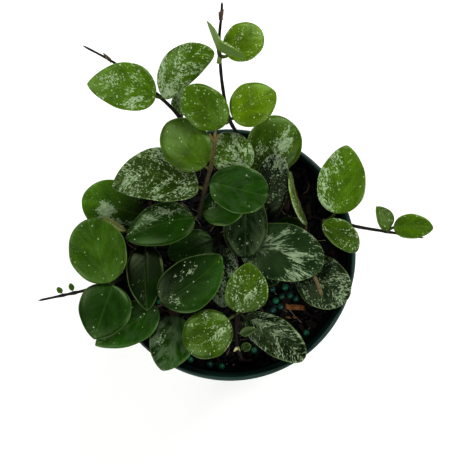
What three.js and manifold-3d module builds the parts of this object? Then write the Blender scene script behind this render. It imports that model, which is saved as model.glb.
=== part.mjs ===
// A potted hoya: a dark green nursery pot filled with bark mix, and leafy vines that stand in the
// mix and trail over the lip. Millimetres, +Z up, origin at the centre of the pot's foot. The front
// of the pot is towards -Y.

import * as THREE from 'three';
import { mergeVertices } from 'three/addons/utils/BufferGeometryUtils.js';
import Module from 'manifold-3d';

const wasm = await Module();
wasm.setup();

// Driving dimensions of the pot
const potHeight = 105;
const lipRadius = 63;
const footRadius = 46;
const wallThickness = 1.7;
const floorThickness = 2.6;
const lipWidth = 2.1;
const collarBottom = 84;          // the wider collar under the lip starts here
const collarRadius = 61.7;        // its outer radius at its bottom
const bodyRadius = 58.7;          // outer radius of the tapered wall under the collar
const potSides = 40;
const drainHoles = 8;
const drainHoleRadius = 4;
const drainCircleRadius = 34;
const drainChannelDepth = 1;

// Driving dimensions of the potting mix
const mixTop = 87;
const mixClearance = 0.35;        // gap between the mix and the pot
const mixRoughness = 1.1;         // height of the lumps in its surface
const prillRadius = 1.9;
const scatteredPrills = 9;
const scatteredChips = 16;
const stemHoleClearance = 0.55;
const stemHoleBottom = 75;

// Driving dimensions of the foliage
const bladeThickness = 1.2;
const bladeEdge = 0.65;           // thickness at a blade's edge, as a share of bladeThickness
const bladeStations = 7;          // steps along a large blade
const bladeStrips = 4;            // strips across a blade
const basePower = 0.5;            // power that rounds a blade's base
const swingPower = 0.7;           // power that spreads a blade's sway over its length
const stemSides = 6;
const stemStep = 7.5;             // length of one straight stretch of stem
const petioleRadius = 1.0;
const petioleEndRadius = 0.5;
const petioleSunk = 3.2;          // how far a petiole runs on inside its blade

const X = 0;
const Y = 1;

// The vines. A stem is a smooth curve through its points, thinning from foot to tip. A blade runs
// from its base to its tip and hangs on the stem's point number `at`. sway is how far its middle
// swings to the left of the straight line between them, and point is the power that draws its tip
// out, from 0.45, blunt, to 0.8, pointed. roll lifts its left edge by so many degrees, arch is the
// rise of its midrib in the middle, and fold and cup lift its edges, as shares of its half width:
// fold in a V and cup in a bowl. A negative cup makes a spoon's back.
const vines = [
  {
    name: 'vine_upper_left',
    stem: [[-10, 30, 76], [-10, 30, 84], [-10, 31, 93], [-12, 38, 104], [-17, 53, 114],
      [-24, 67, 120], [-34, 77.5, 124], [-46, 87, 121], [-57.5, 95.3, 117], [-73, 104, 112]],
    radii: [1.3, 0.5],
    blades: [
      { at: 6, base: [-36, 77.5, 126], tip: [-70, 84, 122],
        width: 23.5, sway: -2.4, point: 0.75, roll: 4, arch: 1.5, cup: 0.1 },
      { at: 6, base: [-32.5, 77, 127], tip: [-8.2, 100, 131],
        width: 18.8, sway: 4.8, point: 0.5, roll: -5, arch: 2, cup: -0.08 },
      { at: 5, base: [-23.5, 69, 119.5], tip: [-21.5, 83.5, 113],
        width: 12.5, point: 0.6, roll: -20, arch: 1, cup: 0.1 },
    ],
  },
  {
    name: 'vine_top_runner',
    stem: [[8, 36, 76], [8, 36, 84], [8, 36.5, 94], [9, 38.5, 106], [10, 41, 120], [5.5, 56, 129.5],
      [-0.3, 66, 142], [-3.5, 82, 148], [-4.6, 95, 151], [-4.8, 103.5, 154], [-3.7, 115, 157.5],
      [-3.5, 119.5, 159]],
    radii: [1.2, 0.6],
    blades: [
      { at: 6, base: [-2, 62.5, 147.5], tip: [-21.5, 79.5, 152],
        width: 20, sway: 0.4, point: 0.55, roll: -4, arch: 1.5, cup: -0.05 },
      { at: 6, base: [1.8, 65.4, 146], tip: [22, 78.4, 144],
        width: 20.5, sway: 1.3, point: 0.6, roll: 4, arch: 1.5, cup: -0.08 },
      { at: 8, base: [-0.8, 94.5, 152], tip: [14.3, 108.5, 150],
        width: 18.2, point: 0.5, roll: -4, arch: 1, cup: 0.08 },
      { at: 8, base: [-5.5, 97.6, 156], tip: [-4.3, 100.4, 169.5],
        width: 24.6, point: 0.6, roll: 158, arch: 0, fold: 0.4 },
      { at: 4, base: [8.3, 40.3, 133], tip: [-6.4, 58, 136],
        width: 20.5, point: 0.55, roll: 5, arch: 1.5, cup: 0.08 },
      { at: 4, base: [11.5, 42, 113], tip: [30.2, 66.5, 112.5],
        width: 27, sway: -0.8, point: 0.43, roll: 5, arch: 2, cup: -0.1 },
      { at: 3, base: [7.8, 31, 113.5], tip: [7.6, -1.5, 111],
        width: 22.5, point: 0.5, roll: -3, arch: 1.5, cup: -0.1 },
    ],
  },
  {
    name: 'vine_upright',
    stem: [[-14, 20, 76], [-14, 20, 84], [-14, 20, 95], [-14.7, 19.5, 110], [-15, 19.3, 122],
      [-12, 32.2, 136], [-9.1, 42, 146], [-7.3, 50.5, 156.5], [-6.7, 57.2, 164.5]],
    radii: [1.3, 0.9],
    blades: [
      { at: 4, base: [-17.3, 18.4, 124], tip: [-51, 8, 120],
        width: 21, sway: -1.7, point: 0.7, roll: 4, arch: 3, cup: -0.16 },
      { at: 4, base: [-13.5, 21, 124], tip: [7.5, 26.5, 126],
        width: 19, point: 0.5, roll: -8, arch: 1.5, cup: 0.05 },
      { at: 5, base: [-15, 33, 138], tip: [-57, 33.5, 133],
        width: 26, sway: -6, point: 0.68, roll: 3, arch: 2, cup: 0.06 },
      { at: 5, base: [-9.5, 35.4, 138], tip: [18.3, 28.6, 139],
        width: 23, sway: -0.2, point: 0.45, roll: -3, arch: 2, cup: 0.1 },
      { at: 6, base: [-12, 42.5, 146.5], tip: [-30.3, 64, 139],
        width: 23.6, sway: -0.2, point: 0.5, roll: -5, arch: 2, cup: -0.1 },
    ],
  },
  {
    name: 'vine_right_runner',
    stem: [[46, 15, 76], [46, 15, 84], [46, 15, 96], [46, 15.8, 108], [47, 17, 116],
      [53, 16.8, 118.5], [62, 14.3, 117.5], [77.5, 11.7, 113], [96.8, 8.5, 108]],
    radii: [1.3, 0.5],
    blades: [
      { at: 4, base: [52.5, 20.5, 120], tip: [57.5, 54, 123],
        width: 24, point: 0.7, roll: 3, arch: 2, cup: 0.06 },
      { at: 4, base: [46, 16.3, 122], tip: [62.7, 2, 120],
        width: 13, sway: 1.5, point: 0.55, roll: 4, arch: 1, cup: 0.08 },
      { at: 7, base: [78, 12.6, 115.5], tip: [72, 23.9, 121],
        width: 8.8, sway: -1.4, point: 0.75, roll: 5, arch: 0.6, cup: 0.1 },
      { at: 7, base: [81, 14, 115], tip: [100.5, 13.5, 117],
        width: 12.4, sway: 0.5, point: 0.65, roll: -3, arch: 0.8, cup: 0.1 },
    ],
  },
  {
    name: 'vine_left_runner',
    stem: [[-36, -8, 76], [-36, -8, 84], [-37, -8, 93], [-43, -9, 101], [-51, -11, 108.5],
      [-58, -13.3, 112.5], [-70, -17, 112], [-77.5, -18.8, 111], [-83, -20, 110], [-95.5, -22.7, 107]],
    radii: [1.3, 0.5],
    blades: [
      { at: 5, base: [-59.7, -13.6, 118.6], tip: [-69.7, 17.9, 121],
        width: 28.5, point: 0.5, roll: -4, arch: 1.5, cup: 0.06 },
      { at: 5, base: [-57.5, -14.5, 116.4], tip: [-67, -41.5, 116],
        width: 26.5, point: 0.72, roll: 3, arch: 2, cup: -0.08 },
      { at: 7, base: [-78, -17.6, 111.8], tip: [-79, -14, 113.5], width: 2.8, point: 0.6 },
      { at: 8, base: [-83.4, -18.8, 110.9], tip: [-85.6, -16, 112], width: 2.8, point: 0.6 },
    ],
  },
  {
    name: 'vine_lower_centre',
    stem: [[4, -27, 76], [4, -27, 84], [4, -27, 92], [4, -27.3, 100], [3.6, -29, 114],
      [3.2, -36.5, 115], [3.4, -43, 113.5], [4.4, -47.5, 112], [6.2, -51.5, 112]],
    radii: [1.2, 0.75],
    blades: [
      { at: 4, base: [4.2, -28, 118], tip: [9.5, -3.5, 124],
        width: 21.3, sway: -2, point: 0.68, roll: 3, arch: 1, cup: 0.1 },
      { at: 4, base: [-0.5, -31.5, 117.5], tip: [-21.5, -46.5, 117],
        width: 24, point: 0.5, roll: 0, arch: 2.5, cup: -0.18 },
      { at: 3, base: [7, -31.5, 102], tip: [37, -51.5, 113],
        width: 18.5, sway: 1.1, point: 0.5, roll: -6, arch: 1.5, cup: 0.08 },
      { at: 5, base: [5.2, -39, 115.5], tip: [12.7, -36, 118], width: 4.5, point: 0.6, cup: 0.3 },
      { at: 7, base: [6, -46.5, 113.5], tip: [10.3, -44, 117], width: 4.6, point: 0.5, cup: 0.3 },
    ],
  },
  {
    name: 'vine_lower_left',
    stem: [[-20, -28, 76], [-20, -28, 84], [-20.5, -28, 93], [-23.5, -28, 102], [-28, -26, 109],
      [-33, -24, 113]],
    radii: [1.4, 1.1],
    blades: [
      { at: 5, base: [-34, -22.7, 117.5], tip: [-4, 0, 120.5],
        width: 25.5, sway: -2.2, point: 0.7, roll: 0, arch: 1, fold: 0.18, cup: 0.06 },
      { at: 5, base: [-36, -25.5, 112], tip: [-67, -45, 109.5],
        width: 20.5, sway: 0.4, point: 0.8, roll: -4, arch: 1, cup: 0.08 },
      { at: 3, base: [-26, -30.5, 105], tip: [-33.5, -57.5, 110],
        width: 23, sway: 0.5, point: 0.68, roll: -5, arch: 1.5, cup: 0.06 },
    ],
  },
  {
    name: 'vine_right_low',
    stem: [[10, -3, 76], [10, -3, 84], [9.7, -2.7, 92], [10, -2, 98], [14.5, -1.5, 102],
      [20, -0.5, 103], [26, 0, 103], [33, -1.5, 104], [36.5, -3.8, 107.5], [40.5, -8, 110.5], [43.5, -14, 112.5],
      [45.5, -20, 113.5]],
    radii: [1.4, 1.0],
    blades: [
      { at: 3, base: [5.1, 3.5, 104.5], tip: [46.7, -3.4, 113.5],
        width: 29, sway: 1.6, point: 0.5, roll: 2, arch: 2, cup: 0.06 },
      { at: 7, base: [35.5, -3.5, 101.5], tip: [58.2, -22.7, 110.5],
        width: 25.5, sway: -0.7, point: 0.5, roll: 5, arch: 0.5, cup: 0.08 },
      { at: 2, base: [12.5, -5.5, 97], tip: [25, -14, 98],
        width: 12.5, point: 0.6, roll: 3, arch: 1, cup: 0.05 },
    ],
  },
  {
    name: 'vine_right_deep',
    stem: [[20, 10, 76], [20, 10, 84], [19.8, 10.3, 92], [19.2, 11.5, 100], [28, 13, 106],
      [37.5, 12.5, 108.5]],
    radii: [1.3, 1.1],
    blades: [
      { at: 3, base: [17, 17.5, 102], tip: [23.5, 50, 117.5],
        width: 18.5, point: 0.5, roll: 6, arch: 1.5, cup: 0.1 },
      { at: 3, base: [23, 11.6, 98.5], tip: [36.5, 14.3, 101],
        width: 11.5, sway: 0.8, point: 0.6, roll: 4, arch: 0.8, cup: 0.05 },
      { at: 5, base: [38, 15, 109.5], tip: [30, 41.5, 110],
        width: 16, point: 0.6, roll: 75, arch: -2.2, cup: 0.1 },
    ],
  },
  {
    name: 'vine_middle_deep',
    stem: [[-5, 10, 76], [-5, 10, 84], [-5, 9.8, 93], [-5.5, 8.5, 102]],
    radii: [1.3, 1.2],
    blades: [
      { at: 3, base: [-5, 5, 102.5], tip: [-3, -26.5, 99.5],
        width: 18, point: 0.6, roll: 5, arch: 2, cup: 0.06 },
      { at: 3, base: [-8.5, 8, 104.5], tip: [-31, -0.5, 108],
        width: 17, point: 0.6, roll: -5, arch: 1.5, cup: 0.08 },
    ],
  },
  {
    name: 'vine_left_deep',
    stem: [[-34, 14, 76], [-34, 14, 84], [-34.5, 14, 93], [-37, 14, 103], [-41, 13, 110],
      [-46.5, 12, 113.5], [-51.5, 11.8, 116]],
    radii: [1.2, 0.7],
    blades: [
      { at: 4, base: [-43.5, 19.8, 110.5], tip: [-73, 28.8, 113.5],
        width: 27, point: 0.55, roll: -5, arch: 1, cup: 0.06 },
      { at: 4, base: [-41.5, 5, 112], tip: [-40.5, -27.5, 116],
        width: 18.5, sway: -1, point: 0.75, roll: -5, arch: 1.2, fold: 0.25 },
      { at: 6, base: [-51, 12.2, 116.6], tip: [-62.3, 19.3, 118],
        width: 3.6, sway: 0.9, point: 0.6, fold: 0.4 },
    ],
  },
];

// A seeded draw of numbers from 0 to 1
function draws(seed) {
  let state = seed;
  return () => {
    state = (state + 0x6d2b79f5) | 0;
    let t = Math.imul(state ^ (state >>> 15), 1 | state);
    t = (t + Math.imul(t ^ (t >>> 7), 61 | t)) ^ t;
    return ((t ^ (t >>> 14)) >>> 0) / 4294967296;
  };
}

function vector(point) {
  return new THREE.Vector3(...point);
}

// A solid from a closed geometry. Its doubled vertices are merged and its empty triangles, such as
// a lathe has on its axis, are dropped.
function solid(geometry) {
  const bare = geometry.clone();
  bare.deleteAttribute('normal');
  bare.deleteAttribute('uv');
  const merged = mergeVertices(bare, 1e-4);
  const index = merged.index.array;
  const triangles = [];
  for (let i = 0; i < index.length; i += 3) {
    const [a, b, c] = [index[i], index[i + 1], index[i + 2]];
    if (a !== b && b !== c && c !== a) triangles.push(a, b, c);
  }
  return new wasm.Manifold(new wasm.Mesh({
    numProp: 3,
    vertProperties: merged.attributes.position.array,
    triVerts: new Uint32Array(triangles),
  }));
}

function named(name, body, material) {
  const mesh = body.getMesh();
  const geometry = new THREE.BufferGeometry();
  geometry.setAttribute('position', new THREE.BufferAttribute(mesh.vertProperties, 3));
  geometry.setIndex(new THREE.BufferAttribute(mesh.triVerts, 1));
  geometry.computeVertexNormals();
  const piece = new THREE.Mesh(geometry, material);
  piece.name = name;
  return piece;
}

// The closed skin over a row of rings that all have the same even number of points. From column
// `flipped` on, the quads are split along their other diagonal.
function skin(rings, flipped = Infinity) {
  const across = rings[0].length;
  const last = (rings.length - 1) * across;
  const index = [];
  for (let i = 0; i < last; i += across) {
    for (let j = 0; j < across; j++) {
      const k = (j + 1) % across;
      const [a, b, c, d] = [i + j, i + k, i + across + k, i + across + j];
      if (j < flipped) index.push(a, b, c, a, c, d);
      else index.push(a, b, d, b, c, d);
    }
  }
  for (let j = 0; j < across / 2 - 1; j++) {
    const [a, b, c, d] = [j, j + 1, across - 2 - j, across - 1 - j];
    index.push(a, c, b, a, d, c);
    index.push(last + a, last + b, last + c, last + a, last + c, last + d);
  }
  const geometry = new THREE.BufferGeometry();
  const positions = rings.flat().flatMap((point) => point.toArray());
  geometry.setAttribute('position', new THREE.Float32BufferAttribute(positions, 3));
  geometry.setIndex(index);
  return geometry;
}

// A round rod along a curve, thinning evenly from its first radius to its last
function rod(curve, steps, firstRadius, lastRadius) {
  const frames = curve.computeFrenetFrames(steps);
  const rings = [];
  for (let i = 0; i <= steps; i++) {
    const centre = curve.getPointAt(i / steps);
    const radius = THREE.MathUtils.lerp(firstRadius, lastRadius, i / steps);
    const ring = [];
    for (let j = 0; j < stemSides; j++) {
      const angle = (2 * Math.PI * j) / stemSides;
      ring.push(centre.clone()
        .addScaledVector(frames.normals[i], radius * Math.cos(angle))
        .addScaledVector(frames.binormals[i], radius * Math.sin(angle)));
    }
    rings.push(ring);
  }
  return skin(rings);
}

// A blade's own axes: along its midrib, across it to the left, and out of its upper face
function bladeAxes({ base, tip, roll = 0 }) {
  const along = vector(tip).sub(vector(base)).normalize();
  const across = new THREE.Vector3(0, 0, 1).cross(along).normalize();
  across.applyAxisAngle(along, THREE.MathUtils.degToRad(roll));
  return { along, across, out: along.clone().cross(across) };
}

// Half of a blade's width at a share u of its length: u to the power basePower times (1 - u) to
// the power `point`, scaled so that its largest value is half the width. It gives a round base and
// a blunt or pointed tip.
function halfWidth(u, width, point) {
  const outline = (share) => share ** basePower * (1 - share) ** point;
  return (0.5 * width * outline(u)) / outline(basePower / (basePower + point));
}

// A blade is a thin body over its middle surface. At (u, v), u along it and v across it from -1 to
// 1, the middle surface is base + u length along + (v halfWidth + swing) across + rise out, where
// swing is sway (4 u (1 - u)) to the power swingPower and rise is 4 arch u (1 - u) + halfWidth
// (fold |v| + cup v²).
function blade(values) {
  const { base, tip, width, point, sway = 0, arch = 0, fold = 0, cup = 0 } = values;
  const { along, across, out } = bladeAxes(values);
  const length = vector(base).distanceTo(vector(tip));
  const stations = length < 12 ? 4 : bladeStations;
  const rings = [];
  for (let i = 0; i <= stations; i++) {
    const u = THREE.MathUtils.lerp(0.012, 0.99, (1 - Math.cos((Math.PI * i) / stations)) / 2);
    const half = halfWidth(u, width, point);
    const swing = sway * (4 * u * (1 - u)) ** swingPower;
    const upper = [];
    const lower = [];
    for (let j = 0; j <= bladeStrips; j++) {
      const v = 1 - (2 * j) / bladeStrips;
      const rise = 4 * arch * u * (1 - u) + half * (fold * Math.abs(v) + cup * v * v);
      const lift = (bladeThickness / 2) * THREE.MathUtils.lerp(1, bladeEdge, v * v);
      const middle = vector(base)
        .addScaledVector(along, u * length)
        .addScaledVector(across, v * half + swing)
        .addScaledVector(out, rise);
      upper.push(middle.clone().addScaledVector(out, lift));
      lower.unshift(middle.clone().addScaledVector(out, -lift));
    }
    rings.push([...upper, ...lower]);
  }
  return solid(skin(rings, bladeStrips + 1));
}

// A petiole bends from the stem to the line of the blade's midrib and ends inside the blade
function petiole(values, start) {
  const { along } = bladeAxes(values);
  const base = vector(values.base);
  const thin = Math.min(1, values.width / 10);
  const curve = new THREE.QuadraticBezierCurve3(
    start,
    base.clone().addScaledVector(along, -1.5),
    base.clone().addScaledVector(along, petioleSunk * thin),
  );
  return solid(rod(curve, 2, petioleRadius * thin, petioleEndRadius * thin));
}

// A leafy vine: its stem, petioles and blades joined in one body
function vine({ stem, radii, blades }) {
  const curve = new THREE.CatmullRomCurve3(stem.map(vector), false, 'centripetal');
  const steps = Math.ceil(curve.getLength() / stemStep);
  let body = solid(rod(curve, steps, ...radii));
  for (const values of blades) {
    body = body.add(petiole(values, vector(stem[values.at])));
    body = body.add(blade(values));
  }
  return body;
}

// Turned about the pot's axis, from a profile of [radius, height] points
function turned(profile) {
  const points = profile.map(([radius, height]) => new THREE.Vector2(radius, height));
  return new THREE.LatheGeometry(points, potSides).rotateX(Math.PI / 2);
}

// The pot's inner wall, as [radius, height] points from its floor up to its lip: a straight taper, a
// step out into the collar, and the collar's almost upright wall
const innerWall = [
  [footRadius - wallThickness, floorThickness],
  [bodyRadius - wallThickness, collarBottom - 1.5],
  [collarRadius - wallThickness, collarBottom + 0.1],
  [lipRadius - lipWidth, potHeight - 0.8],
];

function pot() {
  const profile = [
    [0, 0],
    [footRadius - 1.2, 0],
    [footRadius, 1.2],
    [bodyRadius - 0.1, collarBottom - 2.8],
    [collarRadius, collarBottom - 0.8],
    [lipRadius - 0.6, potHeight - 2.5],
    [lipRadius, potHeight - 2],
    [lipRadius, potHeight - 0.7],
    [lipRadius - 0.6, potHeight],
    [lipRadius - lipWidth + 0.5, potHeight],
    ...innerWall.toReversed(),
    [0, floorThickness],
  ];
  let body = solid(turned(profile));
  for (let i = 0; i < drainHoles; i++) {
    const angle = (2 * Math.PI * (i + 0.5)) / drainHoles;
    const hole = new THREE.CylinderGeometry(drainHoleRadius, drainHoleRadius, 8, 10);
    hole.rotateX(Math.PI / 2).translate(drainCircleRadius, 0, 0).rotateZ(angle);
    body = body.subtract(solid(hole));
    const channel = new THREE.BoxGeometry(footRadius + 4, 3, 2 * drainChannelDepth);
    channel.translate(footRadius / 2 + 18, 0, 0).rotateZ(angle);
    body = body.subtract(solid(channel));
  }
  return body;
}

// Height of the lumps in the mix's surface: two crossed waves
function lumps(x, y) {
  const broad = 0.6 * Math.sin(x / 6.1 + 0.4) * Math.cos(y / 7.3);
  const fine = 0.4 * Math.sin((x + y) / 3.7) * Math.sin((x - 2 * y) / 5.9);
  return mixRoughness * (broad + fine);
}

function prill([x, y]) {
  const ball = new THREE.OctahedronGeometry(prillRadius, 1);
  return ball.rotateZ(x).translate(x, y, mixTop + lumps(x, y) + 0.35 * prillRadius);
}

function chip([x, y], length, width, heading, tilt) {
  const piece = new THREE.BoxGeometry(length, width, 2.2);
  return piece.rotateY(tilt).rotateZ(heading).translate(x, y, mixTop + lumps(x, y) + 0.3);
}

// Places of the prills and the long chip that lie in the open, at the front right
const openPrills = [[26.4, -21.2], [30.6, -20.7], [33.6, -22.4], [25.9, -26.3], [22.1, -28],
  [23.4, -23.3], [21.7, -17.4], [28.1, -16.5], [39.1, -39.8], [50.1, -26.3], [12.3, -48.7],
  [-4.2, -57], [-10.3, -56.2], [-20.3, -53.6]];
const openChip = [33, -26.7];

function pottingMix() {
  const wall = innerWall.slice(0, 3).map(([radius, height]) => (
    [radius - mixClearance, height + mixClearance]
  ));
  const edge = wall[2][0];
  const surface = [0.99, 0.76, 0.52, 0.27, 0].map((share) => [share * edge, mixTop]);
  const profile = [[0, wall[0][1]], ...wall, [edge, mixTop - 1.6], ...surface];
  const geometry = turned(profile);
  const places = geometry.attributes.position;
  for (let i = 0; i < places.count; i++) {
    if (places.getZ(i) > mixTop - 0.5) {
      places.setZ(i, mixTop + lumps(places.getX(i), places.getY(i)));
    }
  }
  let body = solid(geometry);

  const next = draws(7);
  const spot = () => {
    const radius = 55 * Math.sqrt(next());
    const angle = 2 * Math.PI * next();
    return [radius * Math.cos(angle), radius * Math.sin(angle)];
  };
  const clear = (place) => vines.every(({ stem }) => (
    Math.hypot(place[X] - stem[0][X], place[Y] - stem[0][Y]) > 8
  ));
  const chips = [chip(openChip, 9.6, 3.4, -0.1, 0.06)];
  for (let i = 0; i < scatteredChips; i++) {
    const place = spot();
    const piece = chip(place, 5 + 5 * next(), 2.5 + 2.5 * next(), Math.PI * next(), 0.5 * next() - 0.25);
    if (clear(place)) chips.push(piece);
  }
  const prills = openPrills.map(prill);
  for (let i = 0; i < scatteredPrills; i++) {
    const place = spot();
    if (clear(place)) prills.push(prill(place));
  }
  for (const piece of [...chips, ...prills]) body = body.add(solid(piece));

  for (const { stem, radii } of vines) {
    const [x, y] = stem[0];
    const radius = radii[0] + stemHoleClearance;
    const depth = mixTop + 6 - stemHoleBottom;
    const hole = new THREE.CylinderGeometry(radius, radius, depth, 8);
    hole.rotateX(Math.PI / 2).translate(x, y, stemHoleBottom + depth / 2);
    body = body.subtract(solid(hole));
  }
  return body;
}

const potPlastic = new THREE.MeshStandardMaterial({ color: 0x1f3a30, roughness: 0.45, metalness: 0 });
const barkMix = new THREE.MeshStandardMaterial({ color: 0x2a241c, roughness: 0.95, metalness: 0 });
const foliage = new THREE.MeshStandardMaterial({ color: 0x3c6b2c, roughness: 0.4, metalness: 0 });

const hoya = new THREE.Group();
hoya.add(named('pot', pot(), potPlastic));
hoya.add(named('potting_mix', pottingMix(), barkMix));
for (const values of vines) hoya.add(named(values.name, vine(values), foliage));

export default hoya;
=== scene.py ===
# Looks of a potted hoya seen from straight above: leathery leaves with silver splashes on thin
# dark vines, in a dark green nursery pot of bark mix. Blender works in metres. The tables below
# give the vines in millimetres, as the part's source does, and MM turns them into metres.

import math
from functools import partial
from itertools import zip_longest

import bpy
import numpy as np
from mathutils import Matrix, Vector


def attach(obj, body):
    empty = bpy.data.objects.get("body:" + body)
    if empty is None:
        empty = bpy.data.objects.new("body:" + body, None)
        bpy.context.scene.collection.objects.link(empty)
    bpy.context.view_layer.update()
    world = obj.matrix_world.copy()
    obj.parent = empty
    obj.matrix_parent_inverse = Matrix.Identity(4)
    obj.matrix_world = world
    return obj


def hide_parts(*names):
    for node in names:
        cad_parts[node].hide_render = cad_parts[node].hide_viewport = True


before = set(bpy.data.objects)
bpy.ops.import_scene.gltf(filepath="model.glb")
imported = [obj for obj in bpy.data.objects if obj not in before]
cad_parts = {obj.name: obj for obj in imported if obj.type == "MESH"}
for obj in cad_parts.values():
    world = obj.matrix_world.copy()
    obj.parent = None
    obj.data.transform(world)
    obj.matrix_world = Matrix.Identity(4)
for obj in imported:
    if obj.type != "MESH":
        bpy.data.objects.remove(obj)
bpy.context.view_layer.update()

MM = 0.001
TAU = 2 * math.pi

# Pot and mix, as in the part's source
POT_HEIGHT = 105
LIP_RADIUS = 63
FOOT_RADIUS = 46
WALL = 1.7
FLOOR_THICKNESS = 2.6
LIP_WIDTH = 2.1
COLLAR_BOTTOM = 84
COLLAR_RADIUS = 61.7
BODY_RADIUS = 58.7
DRAIN_HOLES = 8
DRAIN_HOLE_RADIUS = 4
DRAIN_CIRCLE_RADIUS = 34
CHANNEL_WIDTH = 3
CHANNEL_REACH = (16, 40, 66)
MIX_TOP = 87
MIX_GAP = 0.35
MIX_ROUGHNESS = 1.1
PRILL_RADIUS = 1.9
STEM_CLEARANCE = 8
OPEN_PRILLS = [
    (26.4, -21.2), (30.6, -20.7), (33.6, -22.4), (25.9, -26.3), (22.1, -28), (23.4, -23.3),
    (21.7, -17.4), (28.1, -16.5), (39.1, -39.8), (50.1, -26.3), (12.3, -48.7), (-4.2, -57),
    (-10.3, -56.2), (-20.3, -53.6),
]
OPEN_CHIP = (33, -26.7)

# Leaf blades and petioles, as in the part's source
BLADE_THICKNESS = 1.2
BASE_POWER = 0.5
SWING_POWER = 0.7
PETIOLE_RADIUS = 1.0
PETIOLE_END_RADIUS = 0.5
PETIOLE_SUNK = 3.2

# Relief of a full-grown blade, and the swelling of a stem where leaves grow
GROOVE_DEPTH = 0.15
GROOVE_WIDTH = 0.55
RIDGE_HEIGHT = 0.11
VEIN_SPACING = 3.6
VEIN_SLANT = 1.1
WAVE_HEIGHT = 0.3
MARGIN_DROP = 0.55
NODE_SWELL = 0.34
NODE_REACH = 1.7

# Fineness of the surfaces
LEAF_STATIONS = 40
LEAF_ROUND = 56
STEM_SIDES = 14
STEM_SAMPLES = 9
POT_SIDES = 180
MIX_SIDES = 240
MIX_RINGS = 90

# What lies in the mix
FLAKES = 480
CRUMBS = 1700
PALE_GRAINS = 60
FIBRES = 170
# Bark tones, partly the bark's own dark colour and partly painted shade inside the pot
BARK_AND_SHADE_TONES = ["#0f0b0c", "#080607", "#1a1110", "#0b080a", "#34231a", "#060405"]
PRILL_TONES = ["#0f744e", "#0b583c", "#177e56", "#0a4d3c", "#136447"]
FIBRE_TONES = ["#4a3a30", "#8a7a64", "#2e2420", "#b0a088"]

# The camera's height over the lip, what it takes in there and its place over the plant. A softbox
# has an azimuth and a power.
CAMERA_HEIGHT = 900
VIEW_WIDTH = 235
CAMERA_PLACE = (2.6, 10)
SOFTBOXES = {"key": (60, 22.5), "left": (150, 13), "low_left": (240, 13.5), "right": (330, 12.5)}
SOFTBOX_SIZE = 900
SOFTBOX_DISTANCE = 1150
SOFTBOX_HEIGHT = 1060


LEAF_SHAPE = ("at", "base", "tip", "width", "sway", "point", "roll", "arch", "fold", "cup")
PLAIN_LOOKS = dict(green="fresh", bright=1, light=(0, 0), silver=0, side=0, end=0, spots=(), streak=0,
                   fan=0, dots=0.2, haze=0.03)


def leaf(*shape, **looks):
    """One leaf. Its shape is in the part's order, and the last values are 0 where they are left out.
    green names its ground colour and bright is how bright that is; both are partly the leaf's own
    tone and partly painted shade on leaves that lie deep under others. light is painted light and
    shade: it makes it brighter towards its left edge and its tip. silver is the share of its face
    that is splashed, side and end shift that share to its left edge and its tip, and each of spots
    changes it round one place, given as (u, v, reach along, reach across, change); a few small
    spots are painted highlights and sheens. streak draws the splashes out along the side veins, or
    where fan isn't 0, along rays from the midrib at that share of its length. dots is how many small
    round flecks it has, and haze how strong a grey veil lies on it, partly a silver film of
    its own and partly painted sheen."""
    return dict(zip_longest(LEAF_SHAPE, shape, fillvalue=0)) | PLAIN_LOOKS | looks


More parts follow.
